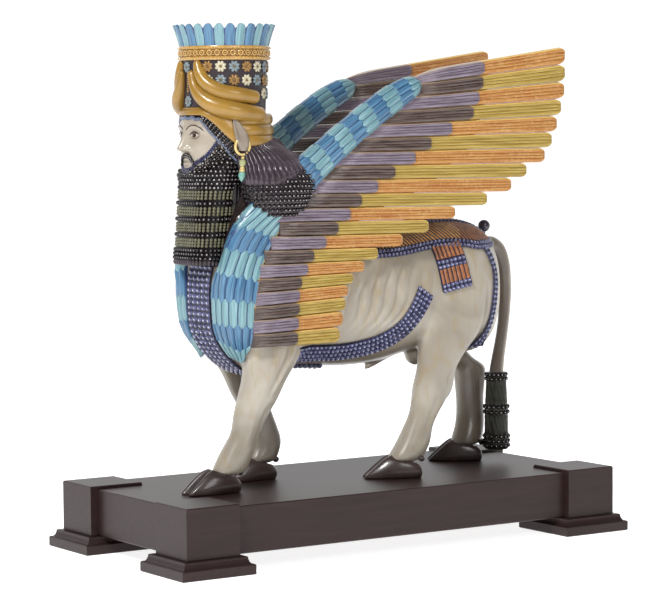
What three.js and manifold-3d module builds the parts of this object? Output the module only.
// A painted porcelain lamassu, the winged and human-headed bull of Assyrian gateways, on a dark
// wooden plinth. Millimetres, +Z up, the origin on the floor under the middle of the plinth. The
// bull walks towards -X. The figure is drawn in its own frame, whose ground is the plinth's board,
// at the height drawnHeight, and every number of its pose and carving is a share of that height.

import * as THREE from 'three';
import { mergeVertices } from 'three/addons/utils/BufferGeometryUtils.js';
import Module from 'manifold-3d';

const wasm = await Module();
wasm.setup();

// Driving dimensions of the plinth
const plinthLength = 500; // over the corner posts
const plinthWidth = 240; // over the corner posts
const boardThickness = 45;
const boardInset = 7.5; // the board's edge lies this far inside the posts' outer faces
const postSide = 57;
const postRise = 3.1; // the posts stand this much above the board
const footPlateHeight = 9.85;
const footPlateOverhang = 10.7; // of the foot's plate beyond the post
const footMouldingHeight = 6.85;
const footMouldingOverhang = 5.2; // the ledge under the board
const edgeBevel = 0.9; // broken edges of board and posts
const jointGap = 0.3; // glue line between two pieces of the plinth

// Driving dimensions of the figure
const figureHeight = 446; // from the hooves to the tips of the crown's feathers
const featherCount = 20; // in each row of a wing
const petalCount = 24; // feathers round the crown

// The height at which the figure's numbers below were drawn
const drawnHeight = 446;

const tau = Math.PI * 2;

// Solids

// Turns a closed geometry into a solid whose faces point outwards
function solid(geometry) {
  geometry.deleteAttribute('normal');
  geometry.deleteAttribute('uv');
  const merged = mergeVertices(geometry, 1e-4);
  const vertProperties = new Float32Array(merged.attributes.position.array);
  const triVerts = new Uint32Array(merged.index.array);
  if (signedVolume(vertProperties, triVerts) < 0) triVerts.reverse();
  return new wasm.Manifold(new wasm.Mesh({ numProp: 3, vertProperties, triVerts }));
}

function signedVolume(points, triangles) {
  const [a, b, c] = [new THREE.Vector3(), new THREE.Vector3(), new THREE.Vector3()];
  let sum = 0;
  for (let i = 0; i < triangles.length; i += 3) {
    a.fromArray(points, triangles[i] * 3);
    b.fromArray(points, triangles[i + 1] * 3);
    c.fromArray(points, triangles[i + 2] * 3);
    sum += a.dot(b.cross(c));
  }
  return sum / 6;
}

// A closed body through rings that all have the same number of points, with flat ends
function loft(rings) {
  const count = rings[0].length;
  const positions = rings.flat(2);
  const index = [];
  for (let r = 0; r < rings.length - 1; r++) {
    for (let i = 0; i < count; i++) {
      const here = r * count + i;
      const next = r * count + (i + 1) % count;
      index.push(here, next, next + count, here, next + count, here + count);
    }
  }
  closeRing(rings[0], 0, true);
  closeRing(rings[rings.length - 1], (rings.length - 1) * count, false);

  function closeRing(ring, first, flip) {
    const middle = [0, 1, 2].map((axis) => ring.reduce((sum, point) => sum + point[axis], 0) / count);
    const hub = positions.length / 3;
    positions.push(...middle);
    for (let i = 0; i < count; i++) {
      const [a, b] = [first + i, first + (i + 1) % count];
      index.push(...(flip ? [b, a, hub] : [a, b, hub]));
    }
  }

  const geometry = new THREE.BufferGeometry();
  geometry.setAttribute('position', new THREE.Float32BufferAttribute(positions, 3));
  geometry.setIndex(index);
  return geometry;
}

// One point of an oval whose power runs from 2, an ellipse, towards a rounded rectangle
function ovalPoint(angle, halfX, halfY, power = 2) {
  const [c, s] = [Math.cos(angle), Math.sin(angle)];
  const grow = (Math.abs(c) ** power + Math.abs(s) ** power) ** (-1 / power);
  return [halfX * c * grow, halfY * s * grow];
}

// A level ring at height z, tilted by `slope` so that it drops towards -X
function levelRing({ x, y = 0, z, halfX, halfY, power = 2, sides = 12, slope = 0 }) {
  return Array.from({ length: sides }, (_, i) => {
    const [dx, dy] = ovalPoint((i / sides) * tau, halfX, halfY, power);
    return [x + dx, y + dy, z + dx * slope];
  });
}

// A round bar along a smooth path. radii are spread over the path from its start to its end,
// each a number or [in the path's own plane, across it]
function bar(points, radii, { sides = 8, steps = 10, across = new THREE.Vector3(0, 1, 0) } = {}) {
  const curve = new THREE.CatmullRomCurve3(points.map((p) => new THREE.Vector3(...p)));
  const rings = [];
  for (let s = 0; s <= steps; s++) {
    const centre = curve.getPoint(s / steps);
    const tangent = curve.getTangent(s / steps);
    const inPlane = new THREE.Vector3().crossVectors(across, tangent).normalize();
    const side = new THREE.Vector3().crossVectors(tangent, inPlane);
    const [rIn, rAcross] = between(radii, s / steps);
    rings.push(Array.from({ length: sides }, (_, i) => {
      const [a, b] = ovalPoint((i / sides) * tau, rIn, rAcross);
      return centre.clone().addScaledVector(inPlane, a).addScaledVector(side, b).toArray();
    }));
  }
  return loft(rings);
}

// The value at share t of an evenly spread list of numbers or pairs, always as a pair
function between(list, t) {
  const at = t * (list.length - 1);
  const i = Math.min(Math.floor(at), list.length - 2);
  const [a, b] = [list[i], list[i + 1]].map((v) => (Array.isArray(v) ? v : [v, v]));
  return [0, 1].map((k) => THREE.MathUtils.lerp(a[k], b[k], at - i));
}

// A turned body about a vertical axis at [x, y]; the profile is [radius, z] from the bottom up
function turned(profile, x, y, sides) {
  const points = profile.map(([r, z]) => new THREE.Vector2(r, z));
  return new THREE.LatheGeometry(points, sides).rotateX(Math.PI / 2).translate(x, y, 0);
}

// The same body on the figure's other side
function mirrored(shape) {
  return shape.mirror([0, 1, 0]);
}

function join(...shapes) {
  return wasm.Manifold.union(shapes.flat());
}

// The slab of an outline in the XZ plane between two values of Y
function sideSlab(outline, fromY, toY) {
  const shape = new THREE.Shape(outline.map(([x, z]) => new THREE.Vector2(x, z)));
  const slab = new THREE.ExtrudeGeometry(shape, { depth: toY - fromY, bevelEnabled: false });
  return solid(slab.rotateX(Math.PI / 2).translate(0, toY, 0));
}

// Body

// Chest and neck from the bottom up: [z, centre X, half depth, half width, squareness]
const chestRings = [
  [111, -101, 12, 20, 2.4], [117, -103, 25, 34, 2.8], [128, -104, 37.5, 45, 3.6],
  [141, -104, 48, 52, 5], [156, -104, 55, 56, 6.5], [176, -104, 57, 57, 7], [200, -104, 57, 57, 7],
  [222, -102, 54, 56, 6], [245, -101, 49.5, 53, 4.5], [266, -100, 43, 49, 3.6],
  [286, -106, 33, 43, 3], [312, -124, 28, 30, 3],
];

function chest(swell) {
  return solid(loft(chestRings.map(([z, x, halfX, halfY, power]) => levelRing({
    x, z: z - swell * 0.5, halfX: halfX + swell, halfY: halfY + swell, power, sides: 14,
  }))));
}

// Barrel from front to back: [x, top z, bottom z, half width]
const barrelRings = [
  [-90, 261, 115, 57], [-55, 256, 115, 57], [-15, 250, 112, 56], [25, 246, 113, 56],
  [62, 247, 120, 55], [92, 251, 125, 55], [122, 252, 122, 57], [146, 248, 117, 53],
  [161, 241, 122, 45], [173, 232, 136, 34], [181.5, 215, 160, 17],
];

function barrel(swell) {
  const sides = 18;
  const rings = barrelRings.map(([x, top, bottom, halfWidth]) => {
    const halfHeight = (top - bottom) / 2 + swell;
    return Array.from({ length: sides }, (_, i) => {
      const [dy, dz] = ovalPoint((i / sides) * tau, halfWidth + swell, halfHeight, 2.4);
      return [x, dy, (top + bottom) / 2 + dz];
    });
  });
  return solid(loft(rings));
}

// Legs from the top down: [z, centre X, half depth, centre Y, half width]
const nearForeLeg = [
  [155, -99, 34, -37, 19], [127, -106, 29, -38, 19], [106, -114.5, 23, -38, 17],
  [88, -121, 21, -36, 15.5], [70, -128.5, 17, -34, 14], [56, -132, 14.6, -32, 13],
  [42, -138.5, 16, -30, 14], [30, -144, 17, -29, 15], [17, -150, 17.5, -28, 15],
];
const farForeLeg = [
  [155, -100, 33, 34, 18], [127, -101, 28, 34, 18], [106, -96, 19.5, 34, 16],
  [86, -88.5, 17.5, 34, 14.5], [68, -79, 16, 34, 13], [52, -71.5, 15, 34, 12.5],
  [38, -68, 16.5, 34, 13.5], [28, -71, 17, 34, 14.5], [16, -78, 18, 33, 15],
];
const nearHindLeg = [
  [190, 114, 50, -35, 23], [160, 108, 42, -40, 20], [140, 102, 35, -43, 18.5],
  [124, 93, 27, -44, 17], [106, 84.5, 21.5, -45, 15.5], [88, 79, 22, -45, 14],
  [76, 75, 19.5, -45, 13], [62, 68.5, 16, -45, 12], [48, 61.5, 15.5, -44, 13],
  [34, 57, 18, -43, 15], [16, 46, 19, -41, 16],
];
const farHindLeg = [
  [190, 130, 44, 34, 23], [165, 134, 38, 36, 21], [140, 146, 28, 36, 18],
  [124, 152, 20, 35, 15.5], [108, 165, 19, 34, 14.5], [97, 184, 18, 34, 14],
  [84, 183.5, 17.5, 33, 13], [64, 183, 15.2, 32, 12.5], [44, 182.5, 15.2, 31, 13.5],
  [30, 179, 16.2, 29, 14.5], [16, 173, 17, 28, 15],
];

function leg(stations, swell = 0) {
  return solid(loft(stations.map(([z, x, halfX, y, halfY]) => levelRing(
    { x, y, z, halfX: halfX + swell, halfY: halfY + swell, power: 2.2, sides: 9 }))));
}

// Cloven hoof: two claws side by side, each [z at the toe, z at the heel, heel, toe, half width]
const clawRings = [[0, 0, 0, 59, 6.8], [9, 7, -1, 51, 7.6], [21, 13.5, 3, 36, 6.4]];
const clawSides = 6;
const cleftWidth = 1.6;
const feet = [
  { heel: [-141, -29], toe: [-196, -26] }, { heel: [-62, 33], toe: [-121, 32] },
  { heel: [61, -50], toe: [10, -24] }, { heel: [189, 21], toe: [142, 50] },
];

function hoof({ heel, toe }) {
  const length = Math.hypot(toe[0] - heel[0], toe[1] - heel[1]);
  const turn = Math.atan2(toe[1] - heel[1], toe[0] - heel[0]);
  const stretch = length / clawRings[0][3];
  const claws = [-1, 1].map((hand) => {
    const rings = clawRings.map(([zToe, zHeel, back, front, halfWidth]) => {
      const halfLength = ((front - back) / 2) * stretch;
      const middle = ((front + back) / 2) * stretch;
      return Array.from({ length: clawSides }, (_, i) => {
        const [along, aside] = ovalPoint((i / clawSides) * tau, halfLength, halfWidth, 2.4);
        const narrowing = 1 - 0.35 * Math.max(0, along / halfLength) ** 2;
        const z = THREE.MathUtils.mapLinear(along, -halfLength, halfLength, zHeel, zToe);
        return [middle + along, hand * (cleftWidth / 2 + halfWidth) + aside * narrowing, z];
      });
    });
    return solid(loft(rings));
  });
  const dewclaws = [-1, 1].map((hand) => solid(
    new THREE.SphereGeometry(4.8, 4, 3).translate(-1, hand * 8.5, 25)));
  return join(claws, dewclaws)
    .rotate([0, 0, THREE.MathUtils.radToDeg(turn)])
    .translate([heel[0], heel[1], 0]);
}

// Tail, bent over at its root and hanging clear of the hocks
const tailPath = [
  [170, 0, 219], [186, 0, 227], [197, 0, 216], [204, 0, 196], [205.5, 0, 168], [202, 0, 137],
  [196, 0, 108], [193, 0, 88],
];
const tailRadii = [9, 9.6, 9, 8.2, 7, 6.8, 7.4, 8.4];
const tasselAxis = [193.5, 0];
const tasselProfile = [
  [0, 13], [12.5, 13], [14.4, 15], [14.4, 27], [13, 29], [13, 48], [13.6, 50], [13.6, 58],
  [12.4, 60], [11, 82], [11.8, 84], [11.2, 93], [0, 93],
];
const tasselStrands = 6;

// The tassel's strands stand out as ridges between its banded ends
function tassel() {
  const round = turned(tasselProfile, 0, 0, tasselStrands * 2);
  const position = round.attributes.position;
  for (let i = 0; i < position.count; i++) {
    const [x, y, z] = [position.getX(i), position.getY(i), position.getZ(i)];
    const angle = Math.atan2(y, x);
    const groove = Math.round((angle / tau) * tasselStrands * 2) % 2 !== 0;
    const ridged = Math.hypot(x, y) > 10.5;
    const pinch = groove && ridged ? 0.9 : 1;
    position.setXYZ(i, x * pinch, y * pinch, z);
  }
  return solid(round.translate(tasselAxis[0], tasselAxis[1], 0));
}

// Sheath and scrotum of the bull
function belly() {
  const sheath = bar([[84, 0, 132], [58, 0, 121], [27, 0, 106]], [8, 7, 5.5], { sides: 6, steps: 3 });
  const scrotum = loft([
    [136, 5, 5], [126, 10, 12], [116, 10, 12], [107, 4, 5],
  ].map(([z, halfX, halfY]) => levelRing({ x: 90, z, halfX, halfY, sides: 7 })));
  return [solid(sheath), solid(scrotum)];
}

// Head

const headX = -140;

// Face: a shallow mask in front of the head, from the chin up: [z, half depth, half width]
const faceRings = [
  [299, 30, 18], [304, 34.5, 21], [309, 35, 24], [313, 35, 26], [316, 34.2, 27.3],
  [319, 35.4, 28.4], [325, 35, 29.8], [328.5, 35.4, 30.2], [334, 35.6, 30.7],
  [339, 35.7, 31], [344, 36.4, 31.3], [350, 37, 31.6], [360, 36.4, 31.6], [370, 34, 31],
];
const faceAngles = [-90, -60, -38, -23, -11, 0, 11, 23, 38, 60, 90].map(THREE.MathUtils.degToRad);

// How far the features stand out of the mask at an angle from the middle and a height
function feature(angle, z) {
  const degrees = Math.abs(THREE.MathUtils.radToDeg(angle));
  const bump = (value, middle, spread) => Math.exp(-(((value - middle) / spread) ** 2));
  const noseRise = THREE.MathUtils.clamp((343 - z) / 15, 0, 1);
  const nose = z > 324.5 ? (2 + 7.5 * noseRise) * bump(degrees, 0, 8) * bump(z, 331, 16) : 0;
  const nostril = 3 * bump(degrees, 12, 5) * bump(z, 327.5, 2.5);
  const brow = 1.6 * bump(degrees, 24, 16) * bump(z, 347, 3);
  const socket = -3.2 * bump(degrees, 22, 11) * bump(z, 340, 4.5);
  const ball = 1.4 * bump(degrees, 24, 6) * bump(z, 339.5, 2.6);
  const lips = 1.5 * bump(degrees, 0, 15) * (bump(z, 317.7, 1.3) + bump(z, 313.8, 1.3));
  const chin = 2 * bump(degrees, 0, 16) * bump(z, 305, 3.5);
  return nose + nostril + brow + socket + ball + lips + chin;
}

function face() {
  return solid(loft(faceRings.map(([z, depth, width]) => {
    const front = faceAngles.map((angle) => {
      const [dx, dy] = ovalPoint(angle, depth, width, 2.3);
      const reach = 1 + feature(angle, z) / depth;
      return [headX - dx * reach, dy * reach, z];
    });
    return [...front, [headX + 8, width * 0.7, z], [headX + 8, -width * 0.7, z]];
  })));
}

// Beard: a rounded block whose rows of curls stand proud of the smooth strands between them.
// Rows from the bottom up: [bottom z, top z, how far it stands proud]
const beardRows = [
  [217, 221, 0.2], [221, 232, 1.9], [232, 241, 0.2], [241, 247, 1.7], [247, 257, 0.2],
  [257, 263, 1.7], [263, 273, 0.2], [273, 280, 1.7], [280, 289, 0.2],
];
const beardFoot = { x: -161, halfX: 18, halfY: 29 };
const beardTop = { x: -152, halfX: 21, halfY: 31 };

function beard() {
  const [low, high] = [beardRows[0][0], beardRows[beardRows.length - 1][1]];
  const rings = beardRows.flatMap(([bottom, top, proud]) => [bottom + 0.4, top - 0.4].map((z) => {
    const t = (z - low) / (high - low);
    const mix = (key) => THREE.MathUtils.lerp(beardFoot[key], beardTop[key], t);
    return levelRing({
      x: mix('x'), z, halfX: mix('halfX') + proud, halfY: mix('halfY') + proud, power: 3.4,
      sides: 10,
    });
  }));
  const jaw = [
    [296, -147, 26, 33.5, 0.05], [309, -145, 30.5, 35.5, 0.26], [318, -142, 33, 36, 0.5],
    [325, -139, 27, 32, 0.66],
  ].map(([z, x, halfX, halfY, slope]) => levelRing(
    { x, z, halfX, halfY, power: 2.5, sides: 10, slope }));
  return solid(loft([...rings, ...jaw]));
}

// Back of the head and the hair that falls to the shoulders in a thick roll of curls
function hair() {
  const skull = loft([
    [286, -122, 30, 34], [318, -126, 36, 38], [350, -131, 39, 40],
  ].map(([z, x, halfX, halfY]) => levelRing({ x, z, halfX, halfY, sides: 10 })));
  const strands = 12;
  const lock = [
    [336, -119, 20, -31, 12], [324, -113, 26, -35, 14.5], [312, -106, 34, -41, 17],
    [301, -103, 38, -46.5, 19.4],
  ].map(([z, x, halfX, y, halfY]) => levelRing(
    { x, y, z, halfX, halfY, power: 2.2, sides: strands }).map(([px, py, pz], i) => {
    const dip = i % 2 ? 0.94 : 1;
    return [x + (px - x) * dip, y + (py - y) * dip, pz];
  }));
  const curls = [
    [299, -102.5, 39.5, -48, 21.5], [284, -101, 38.5, -49, 22], [268, -101, 33, -48.5, 19.5],
    [254, -102, 18, -46, 12],
  ].map(([z, x, halfX, y, halfY]) => levelRing(
    { x, y, z, halfX, halfY, power: 2.2, sides: strands }));
  const side = solid(loft([...lock, ...curls]));
  const nape = loft([
    [334, -106, 22, 34], [310, -92, 25, 44], [286, -88, 24, 46], [270, -92, 14, 44],
  ].map(([z, x, halfX, halfY]) => levelRing({ x, z, halfX, halfY, power: 2.6, sides: 10 })));
  return [solid(skull), side, mirrored(side), solid(nape)];
}

// Bull's ear, a pointed leaf, with a hoop through its foot and a hanging drop
function ear() {
  const leaf = bar([[-146, -41, 357], [-143, -44, 347], [-140, -45.5, 337], [-138.5, -43.5, 327]],
    [[0.8, 0.8], [4.6, 2.6], [6.2, 3.2], [4.2, 2.6]], { sides: 5, steps: 3 });
  const hoop = new THREE.TorusGeometry(7.8, 1.4, 3, 9).rotateX(Math.PI / 2).rotateZ(-0.25);
  const drop = turned([
    [0, 298], [3.3, 303], [1.7, 308], [3, 312], [0, 320.5],
  ], -137, -47.5, 4);
  return [solid(leaf), solid(hoop.translate(-138, -47, 327)), solid(drop)];
}

// Crown

const crownX = -132;

// A ring about the crown's axis: radius and height may depend on the angle from the front
function crownRing(radius, z, sides) {
  return Array.from({ length: sides }, (_, i) => {
    const angle = (i / sides) * tau;
    const front = Math.abs(angle > Math.PI ? tau - angle : angle);
    const r = typeof radius === 'function' ? radius(front, i) : radius;
    const h = typeof z === 'function' ? z(front, i) : z;
    return [crownX - r * Math.cos(angle), -r * Math.sin(angle), h];
  });
}

// The helmet's rim: level over the brow, down to the ears, and level again behind them
function rimDrop(front) {
  const degrees = THREE.MathUtils.radToDeg(front);
  return 30 * THREE.MathUtils.smoothstep(degrees, 24, 84);
}

function helmet() {
  const sides = 16;
  const back = (front) => THREE.MathUtils.smoothstep(front, 1.2, 1.9);
  const tier = (radius, flare, z, drop) => crownRing(
    (front) => radius + flare * back(front), (front) => z - drop * rimDrop(front), sides);
  return solid(loft([
    tier(36, 0, 358, 1), tier(44, 3.4, 358, 1), tier(45.6, 2.2, 362, 0.95),
    tier(42.6, 1.8, 366, 0.8), tier(43.4, 2, 368, 0.6), tier(40.4, 1.2, 372.5, 0.36),
  ]));
}

// The tall cylinder of rosettes with the chased band above it
const drum = { bottom: 365, footRadius: 39.6, headRadius: 41.6 };
const chasedBand = { bottom: 413, top: 425.4, radius: 43.9, bevel: 1 };

function cylinder() {
  const { bottom, top, radius, bevel } = chasedBand;
  return solid(turned([
    [0, drum.bottom], [drum.footRadius, drum.bottom], [drum.headRadius, bottom - bevel],
    [radius, bottom], [radius, top], [radius - bevel * 2, top + bevel], [0, top + bevel],
  ], crownX, 0, 20));
}

// Upright feathers round the top, with rounded tips, leaning out
const petalFoot = { z: 424.5, radius: 43, seamRadius: 41.6 };
const petalTip = { z: drawnHeight, seamZ: 440.5, radius: 48.9, seamRadius: 46.8 };
const crownHollow = { z: 434, radius: 40 };

function petals() {
  const parts = 2; // faces of a feather, which meet in a ridge down its middle
  const sides = petalCount * parts;
  const seam = (i) => i % parts === 0;
  return solid(loft([
    crownRing((front, i) => (seam(i) ? petalFoot.seamRadius : petalFoot.radius), petalFoot.z, sides),
    crownRing((front, i) => (seam(i) ? petalTip.seamRadius : petalTip.radius),
      (front, i) => (seam(i) ? petalTip.seamZ : petalTip.z), sides),
    crownRing(crownHollow.radius, crownHollow.z, sides),
  ]));
}

// Horns: two pairs that start blunt behind the temples, run forward and turn up in front.
// Each station is [degrees from the front, height]
const upperHorn = [[104, 376.5], [78, 378.5], [58, 381.5], [42, 387], [31, 394], [24, 402], [21, 412]];
const lowerHorn = [[111, 360], [84, 362.5], [60, 365.5], [41, 370], [27, 378], [17, 388], [12, 402]];

function horn(stations, reach, radii) {
  const path = stations.map(([degrees, z]) => {
    const angle = THREE.MathUtils.degToRad(degrees);
    return [crownX - reach * Math.cos(angle), -reach * Math.sin(angle), z];
  });
  const curve = bar(path, radii, { sides: 5, steps: 7, across: new THREE.Vector3(0.35, 0.9, 0.25) });
  return solid(curve);
}

function horns() {
  const upper = horn(upperHorn, 42.4, [4.8, 7.1, 7.1, 6.8, 6.1, 5.2, 3.6]);
  const lower = horn(lowerHorn, 44.2, [5.4, 8.3, 8.3, 7.7, 6.6, 5.3, 3.2]);
  return [upper, mirrored(upper), lower, mirrored(lower)];
}

// Wings

// Rear edge of the scaled band from the breast up to the wing's tip, a cubic curve in the XZ plane
const rearEdge = new THREE.CubicBezierCurve(
  new THREE.Vector2(-134.5, 142.7), new THREE.Vector2(-146.3, 281.9),
  new THREE.Vector2(-34.3, 280.7), new THREE.Vector2(54.7, 392.8));

// Ends of the feathers at seven even steps from the top feather to the lowest
const goldEnds = [[232, 419], [226, 363], [198, 313], [114, 269], [13, 229], [-31, 193], [-42, 148]];
const greyEnds = [[130, 403], [113, 352], [39, 306], [-22, 266], [-66, 228], [-87, 191], [-90, 147]];
const rootHeights = { top: 396, bottom: 146 };

function alongEnds(ends, share) {
  const curve = new THREE.CatmullRomCurve3(ends.map(([x, z]) => new THREE.Vector3(x, 0, z)));
  return curve.getPoint(THREE.MathUtils.clamp(share, 0, 1));
}

// The point of the rear edge at a height
function edgeAt(z) {
  let [low, high] = [0, 1];
  for (let i = 0; i < 24; i++) {
    const middle = (low + high) / 2;
    if (rearEdge.getPoint(middle).y < z) low = middle;
    else high = middle;
  }
  return rearEdge.getPoint(low);
}

// The wing's mid plane leans outwards from its lowest root to its tip
const wingRoot = { x: -140, y: 57.3 };
const wingTip = { x: 232, y: 64.6 };
const greyThickness = 6.6; // half, along the ridge of a feather
const goldThickness = 4.6;
const grooveThickness = 1.6;
const freeFeathers = 12; // from the top down, whose inner face stands clear of the body
const bodySide = 52; // the other feathers are backed by the body from this distance

function wingY(x) {
  return THREE.MathUtils.mapLinear(x, wingRoot.x, wingTip.x, wingRoot.y, wingTip.y);
}

// All the feathers of a wing as one pleated plate. Every feather is ridged on both faces and
// meets its neighbours in a groove. The grey row lies thicker over the roots of the gold row
function feathers() {
  const last = featherCount - 1;
  const lines = Array.from({ length: featherCount }, (_, i) => {
    const edge = edgeAt(THREE.MathUtils.lerp(rootHeights.top, rootHeights.bottom, i / last));
    const end = alongEnds(goldEnds, i / last);
    const slope = (end.z - edge.y) / (end.x - edge.x);
    return {
      root: edge.x - 9,
      grey: alongEnds(greyEnds, i / last).x,
      end: end.x,
      z: (x) => edge.y + slope * (x - edge.x),
    };
  });
  // The groove above feather i, or below the last one
  const grooveZ = (i, x) => {
    if (i === 0) return lines[0].z(x) * 1.5 - lines[1].z(x) * 0.5;
    if (i > last) return lines[last].z(x) * 1.5 - lines[last - 1].z(x) * 0.5;
    return (lines[i - 1].z(x) + lines[i].z(x)) / 2;
  };
  const grooveRoot = (i) => lines[THREE.MathUtils.clamp(i, 0, last)].root;
  const corner = (i) => lines[i].end - 5;
  const outside = (x, z, half) => [x, -wingY(x) - half, z];
  const inside = (x, z, half, i) => [x, i < freeFeathers ? -wingY(x) + half : -bodySide, z];
  const grooveBoth = (i, x, z = grooveZ(i, x)) => [
    outside(x, z, grooveThickness), inside(x, z, grooveThickness, i),
  ];

  const triangles = [];
  const quad = (a, b, c, d) => triangles.push(a, b, c, a, c, d);
  // Fills the strip between two rows of points that run the same way
  const strip = (upper, lower) => {
    let [u, l] = [0, 0];
    while (u < upper.length - 1 || l < lower.length - 1) {
      const stepUpper = l === lower.length - 1
        || (u < upper.length - 1 && upper[u + 1][0] < lower[l + 1][0]);
      if (stepUpper) triangles.push(upper[u], lower[l], upper[++u]);
      else triangles.push(upper[u], lower[l], lower[++l]);
    }
  };

  lines.forEach((line, i) => {
    const above = [grooveRoot(i), corner(i)];
    const below = [grooveRoot(i + 1), corner(i)];
    if (i < last && corner(i + 1) < corner(i)) below.splice(1, 0, corner(i + 1));
    const middle = (grooveRoot(i) + grooveRoot(i + 1)) / 2;
    const tips = [i, i + 1].map((groove) => (line.z(line.end) + grooveZ(groove, line.end)) / 2);
    const ridge = [
      [middle, greyThickness], [line.grey - 3, greyThickness], [line.grey + 1, goldThickness],
      [corner(i), goldThickness],
    ];
    for (const face of [0, 1]) {
      const first = triangles.length;
      const free = face === 0 || i < freeFeathers;
      const upper = above.map((x) => grooveBoth(i, x)[face]);
      const lower = below.map((x) => grooveBoth(i + 1, x)[face]);
      const crest = (free ? ridge : [ridge[0], ridge[3]]).map(([x, half]) => (
        face === 0 ? outside(x, line.z(x), half) : inside(x, line.z(x), half, i)));
      const blunt = tips.map((z, k) => grooveBoth(i + k, line.end, z)[face]);
      const top = crest[crest.length - 1];
      strip(upper, crest);
      strip(crest, lower);
      triangles.push(upper[1], top, blunt[0], blunt[0], top, blunt[1]);
      triangles.push(blunt[1], top, lower[lower.length - 1]);
      if (face === 1) turnOver(triangles, first);
    }
    const rim = [
      grooveBoth(i, corner(i)), grooveBoth(i, line.end, tips[0]),
      grooveBoth(i + 1, line.end, tips[1]), grooveBoth(i + 1, corner(i)),
    ];
    if (i === 0) rim.unshift(grooveBoth(0, grooveRoot(0)));
    if (below.length > 2) rim.push(grooveBoth(i + 1, below[1]));
    if (i === last) rim.push(grooveBoth(last + 1, grooveRoot(last + 1)));
    for (let k = 0; k < rim.length - 1; k++) {
      quad(rim[k][0], rim[k + 1][0], rim[k + 1][1], rim[k][1]);
    }
    const [a, b] = grooveBoth(i, grooveRoot(i));
    const [c, d] = grooveBoth(i + 1, grooveRoot(i + 1));
    const m = outside(middle, line.z(middle), greyThickness);
    const n = inside(middle, line.z(middle), greyThickness, i);
    quad(b, n, m, a);
    quad(n, d, c, m);
  });

  const geometry = new THREE.BufferGeometry();
  geometry.setAttribute('position', new THREE.Float32BufferAttribute(triangles.flat(), 3));
  return solid(geometry);
}

// Reverses the winding of the triangles from an index on
function turnOver(corners, first) {
  for (let i = first; i < corners.length; i += 3) {
    [corners[i], corners[i + 1]] = [corners[i + 1], corners[i]];
  }
}

// Scaled arm of the wing, whose rows of scales overlap like tiles from the tip down
const armPath = [
  [-146, -43, 196], [-135, -48, 247], [-99, -52, 282], [-62, -55, 314.5], [-24, -56.5, 343.5],
  [10, -57.5, 366.5], [34, -58, 380.5], [50, -58, 388], [57.5, -58, 391.5],
];
const armHalves = [
  [20, 7], [22.5, 9.5], [19, 10], [15.2, 10.5], [13.8, 10], [13.4, 8.5], [12.2, 7], [9, 6.5], [4, 4.5],
];
const armRows = 6;

function arm() {
  const curve = new THREE.CatmullRomCurve3(armPath.map((p) => new THREE.Vector3(...p)));
  const rings = [];
  for (let row = 0; row < armRows; row++) {
    rings.push(armRing(curve, row / armRows, 0.9), armRing(curve, (row + 0.96) / armRows, -0.1));
  }
  rings.push(armRing(curve, 1, -1));
  return solid(loft(rings));
}

function armRing(curve, t, proud) {
  const centre = curve.getPoint(t);
  const tangent = curve.getTangent(t);
  const inPlane = new THREE.Vector3().crossVectors(new THREE.Vector3(0, 1, 0), tangent).normalize();
  const [half, thick] = between(armHalves, t);
  const sides = 6;
  return Array.from({ length: sides }, (_, i) => {
    const [a, b] = ovalPoint(((i + 0.5) / sides) * tau, half + proud, thick + proud, 2.5);
    return [centre.x + inPlane.x * a, centre.y + b, centre.z + inPlane.z * a];
  });
}

// Scaled breast: chest and shoulders swollen a little in front of the rear edge, on both sides
// of the channel for the breast panel, which widens round the beard
function breast() {
  const edge = rearEdge.getPoints(12).slice(0, 7).map((p) => [p.x, p.y]);
  const outline = [
    [-150, 126], [-139, 117], ...edge, [-90, 290], [-220, 290], [-220, 150], [-163, 140],
  ];
  const half = panelWidth / 2;
  const channel = [[half, 90], [half, 196], [30, 221], [35, 249], [42, 267], [50, 300]];
  const gap = sideSlab([...channel, ...channel.map(([y, z]) => [-y, z]).reverse()], 90, 220)
    .rotate([0, 0, 90]);
  const shoulders = [nearForeLeg, farForeLeg].map((stations) => leg(stations.slice(0, 3), 2.5));
  return join(chest(4), shoulders).intersect(sideSlab(outline, -80, 80)).subtract(gap);
}

// Harness

const panelWidth = 44; // five strings of beads from the beard to behind the forelegs

// A band of beads laid on the body along a path. Each point of the path is [x, y, z] and is
// dropped on the body along a direction that may turn from `aim` to `endAim`; ribs run along it
function strap(body, path, width, { aim, endAim = aim, ribs = 1, proud = 2.4, steps = 8 }) {
  const curve = new THREE.CatmullRomCurve3(path.map((p) => new THREE.Vector3(...p)));
  const columns = ribs * 2 + 1;
  const rings = [];
  for (let s = 0; s <= steps; s++) {
    const down = new THREE.Vector3(...aim).lerp(new THREE.Vector3(...endAim), s / steps).normalize();
    const aside = new THREE.Vector3().crossVectors(curve.getTangent(s / steps), down).normalize();
    const tops = [];
    const bottoms = [];
    for (let c = 0; c < columns; c++) {
      const offset = (c / (columns - 1) - 0.5) * width;
      const start = curve.getPoint(s / steps).addScaledVector(aside, offset);
      const hit = dropOn(body, start, down);
      const rise = c % 2 === 0 ? proud * 0.4 : proud;
      tops.push(hit.clone().addScaledVector(down, -rise).toArray());
      if (c === 0 || c === columns - 1) bottoms.push(hit.clone().addScaledVector(down, 3).toArray());
    }
    rings.push([...tops, bottoms[1], bottoms[0]]);
  }
  return solid(loft(rings));
}

// Where a ray from outside first meets the body
function dropOn(body, start, down) {
  const from = start.clone().addScaledVector(down, -60);
  const hits = new THREE.Raycaster(from, down).intersectObject(body);
  return hits.length ? hits[0].point : start;
}

function asMesh(shape) {
  const mesh = new THREE.Mesh(asGeometry(shape), new THREE.MeshBasicMaterial({ side: THREE.DoubleSide }));
  mesh.updateMatrixWorld();
  return mesh;
}

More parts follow.
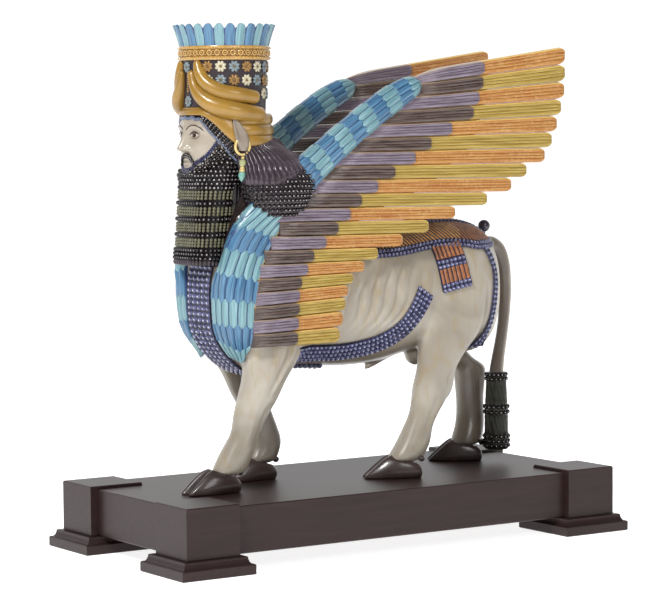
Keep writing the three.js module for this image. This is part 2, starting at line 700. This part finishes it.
function asGeometry(shape) {
  const { vertProperties, triVerts, numProp } = shape.getMesh();
  const positions = [];
  for (let i = 0; i < vertProperties.length; i += numProp) {
    positions.push(vertProperties[i], vertProperties[i + 1], vertProperties[i + 2]);
  }
  const geometry = new THREE.BufferGeometry();
  geometry.setAttribute('position', new THREE.Float32BufferAttribute(positions, 3));
  geometry.setIndex([...triVerts]);
  return geometry;
}

function harness(trunk, hull) {
  const panel = strap(hull, [
    [-160, 0, 236], [-163, 0, 200], [-161, 0, 172], [-157, 0, 152], [-146, 0, 134],
    [-128, 0, 119], [-104, 0, 111],
  ], panelWidth, { aim: [1, 0, 0], endAim: [0.1, 0, 1], ribs: 2, proud: 3.6, steps: 6 });
  const girth = strap(hull, [[-104, 0, 111], [-70, 0, 113], [-37, 0, 112]], panelWidth,
    { aim: [0, 0, 1], proud: 3.6, steps: 2 });
  const spine = strap(trunk, [[-10, 0, 250], [60, 0, 247], [125, 0, 252], [170, 0, 235]],
    8, { aim: [0, 0, -1], proud: 3.2, steps: 5 });
  const girdle = strap(hull, [
    [-84, -50, 127], [-56, -50, 126], [-34, -50, 126], [-11, -50, 128.5], [14, -50, 135],
    [37, -50, 148], [52, -50, 165], [63, -50, 183],
  ], 17, { aim: [0, 1, 0.35], steps: 6 });
  const hem = strap(trunk, [
    [-12, -50, 225], [19, -50, 225.5], [43, -50, 227.5], [67, -50, 232], [92, -50, 235],
    [117, -50, 232.5], [135, -48, 229], [156, -40, 231], [170, -28, 236],
  ], 9, { aim: [0, 1, -0.75], steps: 5 });
  const drapedPanel = strap(trunk, [[94, -60, 229], [97, -60, 208], [101, -60, 185]],
    37, { aim: [0, 1, 0], ribs: 2, proud: 2, steps: 2 });
  const breeching = strap(trunk, [
    [154, -43, 221], [158, -45, 207], [158.5, -46.5, 190], [156, -47, 170], [152, -43, 146],
    [147, -36, 130],
  ], 8, { aim: [-0.7, 0.7, 0], steps: 4 });
  const each = [girdle, hem, drapedPanel, breeching];
  const knob = solid(new THREE.SphereGeometry(6.3, 7, 5).translate(178.5, 0, 245));
  const stalk = solid(new THREE.CylinderGeometry(2.6, 3.4, 22, 5).rotateX(Math.PI / 2)
    .translate(177, 0, 232));
  return [panel, girth, spine, ...each, ...each.map(mirrored), knob, stalk];
}

// The whole figure, cast as one
function figure() {
  const hull = join(chest(0), barrel(0));
  const trunk = join(hull, [nearForeLeg, farForeLeg, nearHindLeg, farHindLeg].map((each) => leg(each)));
  const hooves = feet.map(hoof);
  const tail = solid(bar(tailPath, tailRadii, { sides: 6, steps: 10 }));
  const oneSide = [feathers(), arm(), ...ear()];
  const cast = join(
    trunk, hooves, tail, tassel(), belly(),
    face(), beard(), hair(),
    helmet(), cylinder(), petals(), horns(),
    oneSide, oneSide.map(mirrored),
    breast(), harness(asMesh(trunk), asMesh(hull)),
  );
  return outerShell(cast);
}

// The largest connected body, which leaves out hollows sealed between joined shapes
function outerShell(shape) {
  return shape.decompose().reduce((best, body) => (body.volume() > best.volume() ? body : best));
}

// Plinth

const footTop = footPlateHeight + footMouldingHeight;
const boardBottom = footTop + jointGap;
const boardTop = boardBottom + boardThickness;

// A square block whose half side follows a profile of [height, half side], centred at [x, y]
function squareBlock(profile, [x, y]) {
  return loft(profile.map(([z, half]) => [[half, half], [-half, half], [-half, -half], [half, -half]]
    .map(([dx, dy]) => [x + dx, y + dy, z])));
}

// Foot: a plate with a broken edge, and a hollow moulding that narrows to the post's ledge
function foot(place) {
  const post = postSide / 2;
  const [plate, ledge] = [post + footPlateOverhang, post + footMouldingOverhang];
  const [low, high] = [footPlateHeight, footTop];
  const lip = (plate - ledge) * 0.45;
  return squareBlock([
    [0, plate - edgeBevel], [edgeBevel, plate], [low - edgeBevel, plate], [low, plate - edgeBevel],
    [low + 0.01 * footMouldingHeight, ledge + lip],
    [low + 0.3 * footMouldingHeight, ledge + lip * 0.4],
    [low + 0.65 * footMouldingHeight, ledge + lip * 0.08],
    [high - edgeBevel / 2, ledge], [high, ledge - edgeBevel / 2],
  ], place);
}

function post(place) {
  const half = postSide / 2;
  const top = boardTop + postRise;
  return squareBlock([
    [boardBottom, half], [top - edgeBevel, half], [top, half - edgeBevel],
  ], place);
}

// Board: its corners are notched round the posts
function board() {
  const [halfX, halfY] = [plinthLength / 2 - boardInset, plinthWidth / 2 - boardInset];
  const innerX = plinthLength / 2 - postSide - jointGap;
  const innerY = plinthWidth / 2 - postSide - jointGap;
  const quarter = [[halfX, innerY], [innerX, innerY], [innerX, halfY]];
  const outline = [[1, 1], [-1, 1], [-1, -1], [1, -1]].flatMap(([sx, sy]) => {
    const points = quarter.map(([x, y]) => [(x - edgeBevel) * sx, (y - edgeBevel) * sy]);
    return sx * sy > 0 ? points : points.reverse();
  });
  const shape = new THREE.Shape(outline.map(([x, y]) => new THREE.Vector2(x, y)));
  const slab = new THREE.ExtrudeGeometry(shape, {
    depth: boardThickness - 2 * edgeBevel, bevelThickness: edgeBevel, bevelSize: edgeBevel,
    bevelSegments: 1,
  });
  return slab.translate(0, 0, boardBottom + edgeBevel);
}

// Nodes

function node(name, geometry, color, roughness) {
  const mesh = new THREE.Mesh(geometry, new THREE.MeshStandardMaterial({ color, roughness }));
  mesh.name = name;
  return mesh;
}

const lamassu = node('lamassu', asGeometry(figure()), '#c3b9a6', 0.35);
lamassu.scale.setScalar(figureHeight / drawnHeight);
lamassu.position.z = boardTop + jointGap;

const wood = '#43363a';
const statue = new THREE.Group();
statue.add(lamassu);
statue.add(node('plinth_board', board(), wood, 0.4));
const corners = { front_left: [-1, -1], front_right: [-1, 1], back_left: [1, -1], back_right: [1, 1] };
for (const [corner, [sx, sy]] of Object.entries(corners)) {
  const place = [sx * (plinthLength - postSide) / 2, sy * (plinthWidth - postSide) / 2];
  statue.add(node(`plinth_post_${corner}`, post(place), wood, 0.4));
  statue.add(node(`plinth_foot_${corner}`, foot(place), wood, 0.4));
}

export default statue;
